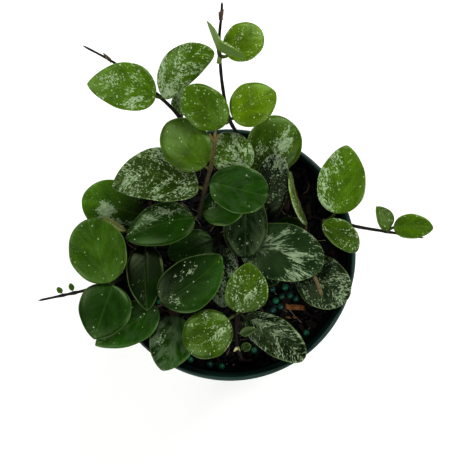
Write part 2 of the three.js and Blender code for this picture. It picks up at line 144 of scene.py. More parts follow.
# Each vine has its stem's points and first and last radius, the colours of its bark from foot to
# tip, and its leaves. A leaf hangs on the stem's point number `at`.
VINES = [
    dict(name="vine_upper_left", radii=(1.3, 0.5), bark=("#0c0a07", "#211b14"), stem=[
        (-10, 30, 76), (-10, 30, 84), (-10, 31, 93), (-12, 38, 104), (-17, 53, 114), (-24, 67, 120),
        (-34, 77.5, 124), (-46, 87, 121), (-57.5, 95.3, 117), (-73, 104, 112),
    ], leaves=[
        leaf(6, (-36, 77.5, 126), (-70, 84, 122), 23.5, -2.4, 0.75, 4, 1.5, 0, 0.1, bright=1.15,
             silver=0.29, streak=0.35, dots=0.6, spots=[(0.3, 0.5, 0.25, 0.35, 0.22),
             (0.64, -0.35, 0.25, 0.25, 0.25)]),
        leaf(6, (-32.5, 77, 127), (-8.2, 100, 131), 18.8, 4.8, 0.5, -5, 2, 0, -0.08, silver=0.43, end=-0.2,
             streak=0.2, dots=0.7),
        leaf(5, (-23.5, 69, 119.5), (-21.5, 83.5, 113), 12.5, 0, 0.6, -20, 1, 0, 0.1, bright=1.2,
             silver=0.6, streak=0.3),
    ]),
    dict(name="vine_top_runner", radii=(1.2, 0.6), bark=("#0d0b08", "#1e1a14"), stem=[
        (8, 36, 76), (8, 36, 84), (8, 36.5, 94), (9, 38.5, 106), (10, 41, 120), (5.5, 56, 129.5),
        (-0.3, 66, 142), (-3.5, 82, 148), (-4.6, 95, 151), (-4.8, 103.5, 154), (-3.7, 115, 157.5),
        (-3.5, 119.5, 159),
    ], leaves=[
        leaf(6, (-2, 62.5, 147.5), (-21.5, 79.5, 152), 20, 0.4, 0.55, -4, 1.5, 0, -0.05, bright=1.05,
             silver=0.17, streak=0.1, dots=1.4),
        leaf(6, (1.8, 65.4, 146), (22, 78.4, 144), 20.5, 1.3, 0.6, 4, 1.5, 0, -0.08, green="young",
             silver=0.15, streak=0.1, dots=0.6, spots=[(0.3, 0.4, 0.3, 0.4, 0.14)]),
        leaf(8, (-0.8, 94.5, 152), (14.3, 108.5, 150), 18.2, 0, 0.5, -4, 1, 0, 0.08, green="young",
             bright=1.02, silver=0.22, streak=0.2, dots=0.6),
        leaf(8, (-5.5, 97.6, 156), (-4.3, 100.4, 169.5), 24.6, 0, 0.6, 158, 0, 0.4, green="young",
             bright=1.1, silver=0.3, streak=0.8),
        leaf(4, (8.3, 40.3, 133), (-6.4, 58, 136), 20.5, 0, 0.55, 5, 1.5, 0, 0.08, bright=0.76,
             silver=0.49, streak=0.3, dots=0.4),
        leaf(4, (11.5, 42, 113), (30.2, 66.5, 112.5), 27, -0.8, 0.43, 5, 2, 0, -0.1, bright=0.62,
             light=(0, 0.45), silver=0.22, streak=0.1, dots=0.9, spots=[(0.6, -0.28, 0.18, 0.28, 0.75),
             (0.3, 0.3, 0.15, 0.3, 0.2), (0.75, 0.5, 0.2, 0.3, -0.2)]),
        # The small spot at (0.77, 0.1) on this leaf is a painted highlight.
        leaf(3, (7.8, 31, 113.5), (7.6, -1.5, 111), 22.5, 0, 0.5, -3, 1.5, 0, -0.1, green="shade",
             bright=0.45, silver=0.04, dots=0.3, haze=0.1, spots=[(0.77, 0.1, 0.03, 0.06, 0.8)]),
    ]),
    dict(name="vine_upright", radii=(1.3, 0.9), bark=("#0b0e07", "#645a36"), stem=[
        (-14, 20, 76), (-14, 20, 84), (-14, 20, 95), (-14.7, 19.5, 110), (-15, 19.3, 122),
        (-12, 32.2, 136), (-9.1, 42, 146), (-7.3, 50.5, 156.5), (-6.7, 57.2, 164.5),
    ], leaves=[
        leaf(4, (-17.3, 18.4, 124), (-51, 8, 120), 21, -1.7, 0.7, 4, 3, 0, -0.16, green="deep",
             bright=0.88, silver=0.02, dots=0.6, haze=0, spots=[(0.45, -0.45, 0.45, 0.33, 0.67)]),
        leaf(4, (-13.5, 21, 124), (7.5, 26.5, 126), 19, 0, 0.5, -8, 1.5, 0, 0.05, green="deep",
             light=(-0.3, 0.2), silver=0.02, spots=[(0.28, 0.15, 0.12, 0.35, 0.45)]),
        leaf(5, (-15, 33, 138), (-57, 33.5, 133), 26, -6, 0.68, 3, 2, 0, 0.06, bright=0.36, silver=0.42,
             streak=0.6, dots=0.3),
        # The small spot at (0.58, 0.65) on this leaf is a painted highlight.
        leaf(5, (-9.5, 35.4, 138), (18.3, 28.6, 139), 23, -0.2, 0.45, -3, 2, 0, 0.1, green="deep",
             dots=0.05, haze=0.08, spots=[(0.58, 0.65, 0.03, 0.06, 0.9)]),
        leaf(6, (-12, 42.5, 146.5), (-30.3, 64, 139), 23.6, -0.2, 0.5, -5, 2, 0, -0.1, bright=0.86,
             dots=0.3, haze=0.08),
    ]),
    dict(name="vine_right_runner", radii=(1.3, 0.5), bark=("#0e0c07", "#231f14"), stem=[
        (46, 15, 76), (46, 15, 84), (46, 15, 96), (46, 15.8, 108), (47, 17, 116), (53, 16.8, 118.5),
        (62, 14.3, 117.5), (77.5, 11.7, 113), (96.8, 8.5, 108),
    ], leaves=[
        leaf(4, (52.5, 20.5, 120), (57.5, 54, 123), 24, 0, 0.7, 3, 2, 0, 0.06, bright=1.05, silver=0.18,
             side=0.34, streak=0.3, dots=0.7),
        leaf(4, (46, 16.3, 122), (62.7, 2, 120), 13, 1.5, 0.55, 4, 1, 0, 0.08, bright=0.62, silver=0.29,
             dots=0.3),
        leaf(7, (78, 12.6, 115.5), (72, 23.9, 121), 8.8, -1.4, 0.75, 5, 0.6, 0, 0.1, bright=0.72,
             light=(0.25, 0), silver=0.15, dots=0.6, haze=0),
        leaf(7, (81, 14, 115), (100.5, 13.5, 117), 12.4, 0.5, 0.65, -3, 0.8, 0, 0.1, bright=0.96,
             silver=0.14, dots=0.5),
    ]),
    dict(name="vine_left_runner", radii=(1.3, 0.5), bark=("#0c0a07", "#1c1712"), stem=[
        (-36, -8, 76), (-36, -8, 84), (-37, -8, 93), (-43, -9, 101), (-51, -11, 108.5),
        (-58, -13.3, 112.5), (-70, -17, 112), (-77.5, -18.8, 111), (-83, -20, 110), (-95.5, -22.7, 107),
    ], leaves=[
        leaf(5, (-59.7, -13.6, 118.6), (-69.7, 17.9, 121), 28.5, 0, 0.5, -4, 1.5, 0, 0.06, green="mature",
             bright=1.12, dots=0.3, haze=0.06),
        leaf(5, (-57.5, -14.5, 116.4), (-67, -41.5, 116), 26.5, 0, 0.72, 3, 2, 0, -0.08, green="deep",
             bright=0.8, light=(0.15, 0), dots=0.05),
        leaf(7, (-78, -17.6, 111.8), (-79, -14, 113.5), 2.8, 0, 0.6, green="mature"),
        leaf(8, (-83.4, -18.8, 110.9), (-85.6, -16, 112), 2.8, 0, 0.6, green="mature"),
    ]),
    dict(name="vine_lower_centre", radii=(1.2, 0.75), bark=("#060505", "#130e0b"), stem=[
        (4, -27, 76), (4, -27, 84), (4, -27, 92), (4, -27.3, 100), (3.6, -29, 114), (3.2, -36.5, 115),
        (3.4, -43, 113.5), (4.4, -47.5, 112), (6.2, -51.5, 112),
    ], leaves=[
        leaf(4, (4.2, -28, 118), (9.5, -3.5, 124), 21.3, -2, 0.68, 3, 1, 0, 0.1, bright=0.68,
             light=(0, 0.3), silver=0.23, dots=2.1, spots=[(0.28, 0, 0.2, 0.6, 0.2)]),
        leaf(4, (-0.5, -31.5, 117.5), (-21.5, -46.5, 117), 24, 0, 0.5, 0, 2.5, 0, -0.18, bright=0.73,
             silver=0.23, streak=0.1, dots=1.1, spots=[(0.3, 0.35, 0.2, 0.4, 0.22),
             (0.32, -0.75, 0.12, 0.2, 0.3)]),
        leaf(3, (7, -31.5, 102), (37, -51.5, 113), 18.5, 1.1, 0.5, -6, 1.5, 0, 0.08, green="deep",
             bright=0.24, silver=0.46, streak=0.9),
        leaf(5, (5.2, -39, 115.5), (12.7, -36, 118), 4.5, 0, 0.6, 0, 0, 0, 0.3, green="mature", bright=0.3,
             silver=0.14),
        leaf(7, (6, -46.5, 113.5), (10.3, -44, 117), 4.6, 0, 0.5, 0, 0, 0, 0.3, green="mature",
             bright=0.34, silver=0.2),
    ]),
    dict(name="vine_lower_left", radii=(1.4, 1.1), bark=("#1a1610", "#33281e"), stem=[
        (-20, -28, 76), (-20, -28, 84), (-20.5, -28, 93), (-23.5, -28, 102), (-28, -26, 109),
        (-33, -24, 113),
    ], leaves=[
        # On this leaf the spots at (0.15, -0.3) and (0.4, -0.6) are a painted sheen and a painted
        # highlight.
        leaf(5, (-34, -22.7, 117.5), (-4, 0, 120.5), 25.5, -2.2, 0.7, 0, 1, 0.18, 0.06, green="deep",
             bright=0.62, light=(-0.9, 0.7), dots=0.3, spots=[(0.45, 0.45, 0.22, 0.25, 0.42),
             (0.15, -0.3, 0.1, 0.4, 0.42), (0.4, -0.6, 0.03, 0.06, 0.8)]),
        leaf(5, (-36, -25.5, 112), (-67, -45, 109.5), 20.5, 0.4, 0.8, -4, 1, 0, 0.08, green="deep",
             bright=1.15, light=(0.2, 0.4), dots=0.3, haze=0.08),
        # On this leaf the spot at (0.55, -0.45) and haze are partly silver and partly a painted sheen.
        leaf(3, (-26, -30.5, 105), (-33.5, -57.5, 110), 23, 0.5, 0.68, -5, 1.5, 0, 0.06, green="deep",
             bright=0.9, light=(0.7, 0), silver=0.02, dots=0.1, haze=0.3,
             spots=[(0.55, -0.45, 0.35, 0.4, 0.31)]),
    ]),
    dict(name="vine_right_low", radii=(1.4, 1), bark=("#1c1810", "#635c3c"), stem=[
        (10, -3, 76), (10, -3, 84), (9.7, -2.7, 92), (10, -2, 98), (14.5, -1.5, 102), (20, -0.5, 103),
        (26, 0, 103), (33, -1.5, 104), (36.5, -3.8, 107.5), (40.5, -8, 110.5), (43.5, -14, 112.5),
        (45.5, -20, 113.5),
    ], leaves=[
        leaf(3, (5.1, 3.5, 104.5), (46.7, -3.4, 113.5), 29, 1.6, 0.5, 2, 2, 0, 0.06, green="blue",
             bright=1.15, silver=0.45, streak=1.15, fan=0.2, dots=0.35,
             spots=[(0.44, -0.5, 0.2, 0.34, -0.8), (0.73, 0.47, 0.13, 0.28, -0.9),
             (0.38, 0.9, 0.2, 0.3, -0.8), (0.37, 0.43, 0.1, 0.15, 0.32), (0.52, 0.72, 0.12, 0.16, 0.38),
             (0.5, 0.15, 0.22, 0.12, 0.22), (0.68, -0.5, 0.1, 0.34, 0.36), (0.1, -0.5, 0.1, 0.4, 0.2)]),
        leaf(7, (35.5, -3.5, 101.5), (58.2, -22.7, 110.5), 25.5, -0.7, 0.5, 5, 0.5, 0, 0.08, green="blue",
             bright=0.58, silver=0.34, end=0.1, streak=0.4),
        leaf(2, (12.5, -5.5, 97), (25, -14, 98), 12.5, 0, 0.6, 3, 1, 0, 0.05, green="shade", bright=0.5,
             silver=0.2),
    ]),
    dict(name="vine_right_deep", radii=(1.3, 1.1), bark=("#241c14", "#4a3f2c"), stem=[
        (20, 10, 76), (20, 10, 84), (19.8, 10.3, 92), (19.2, 11.5, 100), (28, 13, 106), (37.5, 12.5, 108.5),
    ], leaves=[
        leaf(3, (17, 17.5, 102), (23.5, 50, 117.5), 18.5, 0, 0.5, 6, 1.5, 0, 0.1, green="blue",
             bright=0.13, silver=0.32, end=0.2, streak=0.15, dots=0.3),
        leaf(3, (23, 11.6, 98.5), (36.5, 14.3, 101), 11.5, 0.8, 0.6, 4, 0.8, 0, 0.05, green="shade",
             bright=2),
        leaf(5, (38, 15, 109.5), (30, 41.5, 110), 16, 0, 0.6, 75, -2.2, 0, 0.1, green="pale", bright=1.02,
             silver=0.38, dots=0.5, haze=0.1),
    ]),
    dict(name="vine_middle_deep", radii=(1.3, 1.2), bark=("#241c14", "#3a2e22"), stem=[
        (-5, 10, 76), (-5, 10, 84), (-5, 9.8, 93), (-5.5, 8.5, 102),
    ], leaves=[
        leaf(3, (-5, 5, 102.5), (-3, -26.5, 99.5), 18, 0, 0.6, 5, 2, 0, 0.06, green="blue", bright=0.42,
             silver=0.46, end=0.1, streak=0.2, dots=0.1),
        leaf(3, (-8.5, 8, 104.5), (-31, -0.5, 108), 17, 0, 0.6, -5, 1.5, 0, 0.08, green="shade",
             bright=1.7, silver=0.12, dots=0.4),
    ]),
    dict(name="vine_left_deep", radii=(1.2, 0.7), bark=("#241c14", "#6e6a3c"), stem=[
        (-34, 14, 76), (-34, 14, 84), (-34.5, 14, 93), (-37, 14, 103), (-41, 13, 110), (-46.5, 12, 113.5),
        (-51.5, 11.8, 116),
    ], leaves=[
        leaf(4, (-43.5, 19.8, 110.5), (-73, 28.8, 113.5), 27, 0, 0.55, -5, 1, 0, 0.06, green="mature",
             light=(0, 0.85), silver=0.04, streak=0.2, dots=0.1, spots=[(0.6, 0.2, 0.16, 0.35, 1),
             (0.3, 0.52, 0.18, 0.16, 0.8)]),
        leaf(4, (-41.5, 5, 112), (-40.5, -27.5, 116), 18.5, -1, 0.75, -5, 1.2, 0.25, green="deep",
             bright=0.2, light=(0.8, 1.2), dots=0, haze=0),
        leaf(6, (-51, 12.2, 116.6), (-62.3, 19.3, 118), 3.6, 0.9, 0.6, 0, 0, 0.4, green="straw",
             bright=0.66, silver=0.3, dots=0, haze=0),
    ]),
]

# Ground greens, from young leaves to old ones in the shade, the darker ones partly painted shade
GREENS = dict(young="#506a05", fresh="#415c08", mature="#2f4a09", deep="#1b3b05", shade="#112d06",
              blue="#1d3016", pale="#687a30", straw="#8f8f52")

# Small pointed bracts at the young nodes: where each starts and ends, its radius and its colour
BRACTS = {
    "vine_upper_left": [
        ((-59.3, 96.4, 117.2), (-62.4, 99.7, 119.2), 0.9, "#574c3a"),
        ((-58.4, 95.4, 117), (-60.4, 98.4, 118.4), 0.7, "#463c2e"),
    ],
    "vine_top_runner": [
        ((-4.1, 111.5, 156.4), (-3.8, 117, 158.4), 1.0, "#4c3d30"),
        ((-3.7, 113.4, 157), (-2.8, 116.2, 158.6), 0.7, "#5c4a3a"),
        ((-4.4, 112.8, 157), (-5, 115.2, 158.2), 0.6, "#4c3d30"),
        ((-5, 91.5, 150.2), (-4.6, 97.8, 152), 1.15, "#5d6a36"),
    ],
    "vine_upright": [
        ((-7.4, 54, 161), (-9.4, 57.4, 165.2), 1.0, "#645a36"),
        ((-6.6, 54, 161), (-4.8, 57.2, 165.2), 1.0, "#645a36"),
        ((-6.9, 56, 163.4), (-6.2, 59.6, 166.8), 0.8, "#645a36"),
    ],
    "vine_lower_centre": [
        ((3.6, -46, 112.8), (1.8, -47.8, 114.2), 0.9, "#98986e"),
        ((4.0, -45.6, 113), (5.2, -47.6, 114), 0.6, "#7a7850"),
    ],
}


def srgb(value):
    """An sRGB hex colour as linear red, green, blue and alpha."""
    channels = np.array([int(value[i:i + 2], 16) for i in (1, 3, 5)]) / 255
    linear = np.where(channels <= 0.04045, channels / 12.92, ((channels + 0.055) / 1.055) ** 2.4)
    return np.append(linear, 1.0)


def unit(vectors):
    return vectors / np.linalg.norm(vectors, axis=-1, keepdims=True)


def stacked(*parts):
    """Arrays and numbers, spread to one shape and put side by side in a new last axis."""
    return np.stack(np.broadcast_arrays(*parts), -1)


def ramp(values, low, high):
    """0 below low, 1 above high and a smooth step between them."""
    share = np.clip((values - low) / (high - low), 0, 1)
    return share * share * (3 - 2 * share)


def bent(start, corner, end, t):
    """A parabola at its share t. It leaves start towards the corner and comes into end from it."""
    return (1 - t) ** 2 * start + 2 * t * (1 - t) * corner + t * t * end


# Meshes

def shell_of(rings, **attributes):
    """A closed skin over rings of points, an array of rings by points by 3. Each end is closed by a
    fan round its ring's centre, and the faces point outwards. Each attribute is one value for all,
    one a ring, or one a point of each ring."""
    count, around = rings.shape[:2]
    points = np.concatenate([rings.reshape(-1, 3), rings[:1].mean(1), rings[-1:].mean(1)])
    i, j = np.meshgrid(np.arange(count - 1), np.arange(around), indexing="ij")
    k = (j + 1) % around
    quads = stacked(i * around + j, i * around + k, (i + 1) * around + k, (i + 1) * around + j)
    quads = quads.reshape(-1, 4)
    ring = np.arange(around)
    following = (ring + 1) % around
    last, pole = (count - 1) * around, count * around
    fans = np.concatenate([stacked(pole, following, ring),
                           stacked(pole + 1, last + ring, last + following)])
    corners = points[np.concatenate([quads[:, :3], quads[:, [0, 2, 3]], fans])]
    a, b, c = (corners - points[0]).transpose(1, 0, 2)
    if np.einsum("ij,ij->", a, np.cross(b, c)) < 0:
        quads, fans = quads[:, ::-1], fans[:, ::-1]
    spread = {}
    for name, values in attributes.items():
        values = np.asarray(values, float)
        values = values[:, None] if values.ndim == 2 else values
        values = np.broadcast_to(values, (count, around, values.shape[-1]))
        flat = values.reshape(count * around, -1)
        spread[name] = np.concatenate([flat, values[0, :1], values[-1, :1]])
    return dict(points=points, quads=quads, fans=fans, attributes=spread)


def new_piece(name, shells, materials, nodes):
    """A piece of the scene from shells, which can name each quad's material by number. It rides on
    the root, stands for the named CAD nodes and takes its finish from the slot."""
    points = np.concatenate([shell["points"] for shell in shells]) * MM
    offsets = np.cumsum([0] + [len(shell["points"]) for shell in shells])
    quads, fans = (np.concatenate([shell[kind] + offset for shell, offset in zip(shells, offsets)])
                   for kind in ("quads", "fans"))
    mesh = bpy.data.meshes.new(name)
    mesh.from_pydata(points, [], quads.tolist() + fans.tolist())
    mesh.shade_smooth()
    slots = [shell.get("quad_material", np.zeros(len(shell["quads"]))) for shell in shells]
    slots = np.concatenate(slots + [np.zeros(len(fans))]).astype(np.int32)
    mesh.polygons.foreach_set("material_index", slots)
    for attribute in shells[0]["attributes"]:
        values = np.concatenate([shell["attributes"][attribute] for shell in shells])
        colour = values.shape[1] == 4
        layer = mesh.attributes.new(attribute, "FLOAT_COLOR" if colour else "FLOAT_VECTOR", "POINT")
        layer.data.foreach_set("color" if colour else "vector", values.astype(np.float32).ravel())
    mesh.validate()
    for material in materials:
        mesh.materials.append(material)
    piece = bpy.data.objects.new(name, mesh)
    bpy.context.collection.objects.link(piece)
    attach(piece, "root")
    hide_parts(*nodes)
    return piece


def smooth_path(points, samples):
    """A centripetal Catmull-Rom curve through the points. Each stretch between two points is the
    cubic whose end slopes come from its neighbours, with knots spaced by the root of their
    distance."""
    points = np.array(points, float)
    ends = 2 * points[[0, -1]] - points[[1, -2]]
    padded = np.concatenate([ends[:1], points, ends[1:]])
    knots = np.linalg.norm(np.diff(padded, axis=0), axis=1) ** 0.5
    before, middle, after = (knots[i:len(knots) - 2 + i, None] for i in range(3))
    p0, p1, p2, p3 = (padded[i:len(padded) - 3 + i] for i in range(4))
    slope1 = middle * ((p1 - p0) / before - (p2 - p0) / (before + middle) + (p2 - p1) / middle)
    slope2 = middle * ((p2 - p1) / middle - (p3 - p1) / (middle + after) + (p3 - p2) / after)
    t = (np.arange(samples) / samples)[:, None]
    p1, p2, slope1, slope2 = (values[:, None] for values in (p1, p2, slope1, slope2))
    curve = (p1 + slope1 * t + (3 * (p2 - p1) - 2 * slope1 - slope2) * t ** 2
             + (2 * (p1 - p2) + slope1 + slope2) * t ** 3)
    return np.concatenate([curve.reshape(-1, 3), points[-1:]])


def rod(path, radii, sides, across):
    """Rings round a path: circles of the given radii in the planes square to it, turned so that
    their first point leans towards the direction `across`."""
    tangents = unit(np.gradient(path, axis=0))
    normals = unit(across - (tangents @ across)[:, None] * tangents)
    binormals = np.cross(tangents, normals)
    angles = (TAU * np.arange(sides) / sides)[:, None]
    around = np.cos(angles) * normals[:, None] + np.sin(angles) * binormals[:, None]
    return path[:, None] + radii[:, None, None] * around


# Leaves and stems

def leaf_axes(row):
    """A blade's own axes: along its midrib, across it to the left, and out of its upper face."""
    along = unit(np.subtract(row["tip"], row["base"]))
    flat = unit(np.cross((0.0, 0.0, 1.0), along))
    roll = math.radians(row["roll"])
    across = flat * math.cos(roll) + np.cross(along, flat) * math.sin(roll)
    return along, across, np.cross(along, across)


def half_width(u, width, point):
    """Half of a blade's width at a share u of its length: u to the power BASE_POWER times 1 - u to
    the power `point`, scaled so that its largest value is half the width."""
    peak = BASE_POWER / (BASE_POWER + point)
    return 0.5 * width * (u / peak) ** BASE_POWER * ((1 - u) / (1 - peak)) ** point


def blade_rise(row, u, v, length, half, phase):
    """How far a blade's middle surface rises: its arch, fold and cup, as in the part's source, with
    a groove along the midrib, faint ridges between the side veins, a slow wave of its own and a
    margin that rolls down."""
    x, y = u * length, v * half
    rise = 4 * row["arch"] * u * (1 - u) + half * (row["fold"] * np.abs(v) + row["cup"] * v * v)
    groove = GROOVE_DEPTH * np.exp(-(y / GROOVE_WIDTH) ** 2) * ramp(u, 0.0, 0.06) * (1 - 0.6 * u)
    ridges = RIDGE_HEIGHT * np.sin(TAU * (x - VEIN_SLANT * np.abs(y)) / VEIN_SPACING + phase[1])
    ridges = ridges * np.clip(1 - np.abs(v), 0, 0.5)
    wave = WAVE_HEIGHT * np.sin(2.2 * math.pi * u + phase[2]) * np.sin(1.4 * v + phase[3]) * v ** 2
    margin = MARGIN_DROP * ramp(np.abs(v), 0.8, 1.05)
    return rise + min(1.0, row["width"] / 16) * (ridges + wave - groove - margin)


def blade_marks(row, number, u, v, length, half):
    """What the leaf's material reads. vein is millimetres along and across the side veins, or rays
    from a place on the midrib, splash is the splashed share, the streaks and the dots, place is the
    haze and how far the midrib and the edge are, and green is the ground colour, with its
    painted light and shade."""
    x, y = u * length, v * half
    vein = stacked(1.35 * y, x - VEIN_SLANT * np.abs(y), 17.3 * number)
    if row["fan"]:
        reach = x - row["fan"] * length
        vein = stacked(np.hypot(reach, y), 24 * np.arctan2(y, reach), 17.3 * number)
    amount = row["silver"] + row["side"] * v + row["end"] * (2 * u - 1)
    # Some spots are painted highlights and sheens, drawn as silver.
    for at_u, at_v, reach_u, reach_v, more in row["spots"]:
        amount = amount + more * np.exp(-((u - at_u) / reach_u) ** 2 - ((v - at_v) / reach_v) ** 2)
    # Painted light and shade: the ground is darker or brighter across the leaf where neighbours shade it
    painted_light_and_shade = row["bright"] * np.clip(1 + row["light"][0] * v + row["light"][1] * (2 * u - 1), 0.2, 3)
    return dict(vein=vein, splash=stacked(amount, row["streak"], row["dots"]),
                place=stacked(row["haze"], y, (1 - np.abs(v)) * half),
                green=srgb(GREENS[row["green"]]) * painted_light_and_shade[..., None])


def leaf_shell(row, number):
    """A leathery blade over the middle surface base + u length along + (v half + swing) across +
    rise out, as in the part's source. Its section is a flat oval: at angle a round it, v is cos a
    and the lift is half the thickness times the root of |sin a|."""
    phase = np.random.default_rng(100 + number).uniform(0, TAU, 6)
    along, across, out = leaf_axes(row)
    length = float(np.linalg.norm(np.subtract(row["tip"], row["base"])))
    stations, around = (14, 24) if length < 12 else (LEAF_STATIONS, LEAF_ROUND)
    share = (1 - np.cos(math.pi * np.arange(stations + 1) / stations)) / 2
    u = (0.004 + (0.997 - 0.004) * share)[:, None]
    angle = (TAU * np.arange(around) / around)[None, :]
    v = np.cos(angle)
    half = half_width(u, row["width"], row["point"])
    half = half * (1 + 0.012 * np.sin(5 * u * math.pi + phase[0] + np.sign(v)))
    swing = row["sway"] * (4 * u * (1 - u)) ** SWING_POWER
    rise = blade_rise(row, u, v, length, half, phase)
    thickness = BLADE_THICKNESS * min(1.0, row["width"] / 10)
    lift = 0.5 * thickness * np.sign(np.sin(angle)) * np.abs(np.sin(angle)) ** 0.5
    lift = lift * (1 - 0.45 * v * v) * ramp(u, -0.02, 0.03) ** 0.5 * ramp(1 - u, -0.02, 0.05) ** 0.5
    rings = (row["base"] + (u * length)[..., None] * along + (v * half + swing)[..., None] * across
             + (rise + lift)[..., None] * out)
    shell = shell_of(rings, **blade_marks(row, number, u, v, length, half))
    under = np.sin(angle[0] + math.pi / around) < 0
    shell["quad_material"] = np.tile(under, stations).astype(int)
    return shell


def stem_shells(vine):
    """The stem, its petioles and its bracts. The stem's radius runs evenly from the first to the
    last, swells by a bell curve at each node that bears leaves and wavers a little. A petiole is a
    parabola from the node into the blade, and a bract a straight spike."""
    path = smooth_path(vine["stem"], STEM_SAMPLES)
    steps = np.linalg.norm(np.diff(path, axis=0), axis=1)
    travelled = np.concatenate([[0], np.cumsum(steps)])
    share = travelled / travelled[-1]
    foot, tip = (srgb(value) for value in vine["bark"])
    reach = np.subtract(vine["stem"][-1], vine["stem"][0])
    level = unit(np.array([-reach[1], reach[0], 0.0]))
    nodes = travelled[[STEM_SAMPLES * row["at"] for row in vine["leaves"]]]
    swell = NODE_SWELL * np.exp(-((travelled[:, None] - nodes) / NODE_REACH) ** 2).max(1)
    waver = 0.05 * np.sin(travelled * 0.9 + len(vine["name"])) + 0.03 * np.sin(travelled * 2.3)
    first, last = vine["radii"]
    radii = (first + (last - first) * share) * (1 + swell + waver)
    radii = radii * (1 - 0.75 * ramp(travelled, travelled[-1] - 1.2, travelled[-1]))
    tone = foot + (tip - foot) * share[:, None] ** 3
    shells = [shell_of(rod(path, radii, STEM_SIDES, level), tone=tone)]
    for row in vine["leaves"]:
        along, across, _ = leaf_axes(row)
        size = min(1.0, row["width"] / 10)
        t = np.linspace(0, 1, 13)[:, None]
        curve = bent(np.array(vine["stem"][row["at"]], float), row["base"] - 1.5 * along,
                     row["base"] + PETIOLE_SUNK * size * along, t)
        radii = size * (PETIOLE_RADIUS + (PETIOLE_END_RADIUS - PETIOLE_RADIUS) * t[:, 0])
        leafward = 0.55 * srgb(GREENS[row["green"]]) + 0.45 * srgb("#4a3f2a")
        here = foot + (tip - foot) * (row["at"] / (len(vine["stem"]) - 1)) ** 3
        tone = here + (leafward - here) * t ** 0.7
        shells.append(shell_of(rod(curve, radii, 10, across), tone=tone))
    for start, end, radius, colour in BRACTS.get(vine["name"], []):
        t = np.linspace(0, 1, 8)[:, None]
        curve = start + np.subtract(end, start) * t
        radii = radius * (1 - t[:, 0] ** 1.6) ** 0.8 + 0.06
        shells.append(shell_of(rod(curve, radii, 8, level + (0, 0, 0.3)), tone=srgb(colour)))
    return shells


# The pot

# Its inner wall, as radius and height from its floor up to its lip
INNER_WALL = [
    (FOOT_RADIUS - WALL, FLOOR_THICKNESS), (BODY_RADIUS - WALL, COLLAR_BOTTOM - 1.5),
    (COLLAR_RADIUS - WALL, COLLAR_BOTTOM + 0.1), (LIP_RADIUS - LIP_WIDTH, POT_HEIGHT - 0.8),
]


def rounded(profile, radius, steps=5):
    """The profile with each inner corner replaced by a parabola that starts and ends `radius` from
    it, or 0.45 of the shorter side where that is less."""
    profile = np.array(profile, float)
    corner, before, after = profile[1:-1], profile[:-2], profile[2:]
    near = np.linalg.norm(corner - before, axis=1)
    far = np.linalg.norm(after - corner, axis=1)
    cut = np.minimum(radius, 0.45 * np.minimum(near, far))[:, None]
    start = corner + unit(before - corner) * cut
    end = corner + unit(after - corner) * cut
    arcs = bent(start[:, None], corner[:, None], end[:, None], np.linspace(0, 1, steps)[:, None])
    return np.concatenate([profile[:1], arcs.reshape(-1, 2), profile[-1:]])


def turned(profile, sides):
    """Rings about the Z axis through the profile's points, given as radius and height."""
    angles = TAU * np.arange(sides) / sides
    radius, height = profile[:, :1], profile[:, 1:]
    return stacked(radius * np.cos(angles), radius * np.sin(angles), height)


def pot_profile():
    """Radius and height of the pot's section: the underside, the tapered wall, the wider collar,
    the rolled lip, the inner wall and the floor."""
    return [
        (0, 0), (FOOT_RADIUS - 1.2, 0), (FOOT_RADIUS, 1.2), (BODY_RADIUS - 0.1, COLLAR_BOTTOM - 2.8),
        (COLLAR_RADIUS, COLLAR_BOTTOM - 0.8), (LIP_RADIUS - 0.6, POT_HEIGHT - 2.5),
        (LIP_RADIUS, POT_HEIGHT - 2), (LIP_RADIUS, POT_HEIGHT - 0.7), (LIP_RADIUS - 0.6, POT_HEIGHT),
        (LIP_RADIUS - LIP_WIDTH + 0.5, POT_HEIGHT), *INNER_WALL[::-1], (0, FLOOR_THICKNESS),
    ]


def add_pot(material):
    """The pot is its section turned about the Z axis. The drain holes and the channels under them
    are cut out with one boolean."""
    profile = rounded(pot_profile(), 0.7)
    profile[[0, -1], 0] = 0.5
    pot = new_piece("nursery_pot", [shell_of(turned(profile, POT_SIDES))], [material], ["pot"])
    cutters = []
    for number in range(DRAIN_HOLES):
        angle = TAU * (number + 0.5) / DRAIN_HOLES
        heading = np.array([math.cos(angle), math.sin(angle), 0.0])
        hole = np.array([heading * DRAIN_CIRCLE_RADIUS + (0, 0, z) for z in (-3.0, 0.0, 5.0)])
        cutters.append(shell_of(rod(hole, np.full(3, float(DRAIN_HOLE_RADIUS)), 32, heading)))
        channel = np.array([heading * radius for radius in CHANNEL_REACH])
        upwards = unit(np.array([-heading[1], heading[0], 1.0]))
        square = rod(channel, np.full(3, CHANNEL_WIDTH / 2 ** 0.5), 4, upwards)
        square[..., 2] *= 2 / 3
        cutters.append(shell_of(square))
    tool = new_piece("drain_tool", cutters, [material], ["pot"])
    cut = pot.modifiers.new("drain", "BOOLEAN")
    cut.operation, cut.solver, cut.object, cut.use_self = "DIFFERENCE", "EXACT", tool, True
    bpy.context.view_layer.update()
    finished = bpy.data.meshes.new_from_object(
        pot.evaluated_get(bpy.context.evaluated_depsgraph_get()))
    pot.modifiers.clear()
    pot.data = finished
    bpy.data.objects.remove(tool)


# The potting mix

def lumps(x, y):
    """Height of the lumps in the mix's surface: two crossed waves, as in the part's source."""
    broad = 0.6 * np.sin(x / 6.1 + 0.4) * np.cos(y / 7.3)
    fine = 0.4 * np.sin((x + y) / 3.7) * np.sin((x - 2 * y) / 5.9)
    return MIX_ROUGHNESS * (broad + fine)


def lattice_noise(x, y, cell, draw):
    """Random heights from -1 to 1 on a square lattice, joined by smooth steps in between."""
    heights = draw.uniform(-1, 1, (64, 64))
    column, row = np.floor(x / cell).astype(int), np.floor(y / cell).astype(int)
    s, t = ramp(x / cell - column, 0, 1), ramp(y / cell - row, 0, 1)
    near, far = ((1 - s) * heights[column % 64, (row + up) % 64]
                 + s * heights[(column + 1) % 64, (row + up) % 64] for up in (0, 1))
    return near * (1 - t) + far * t


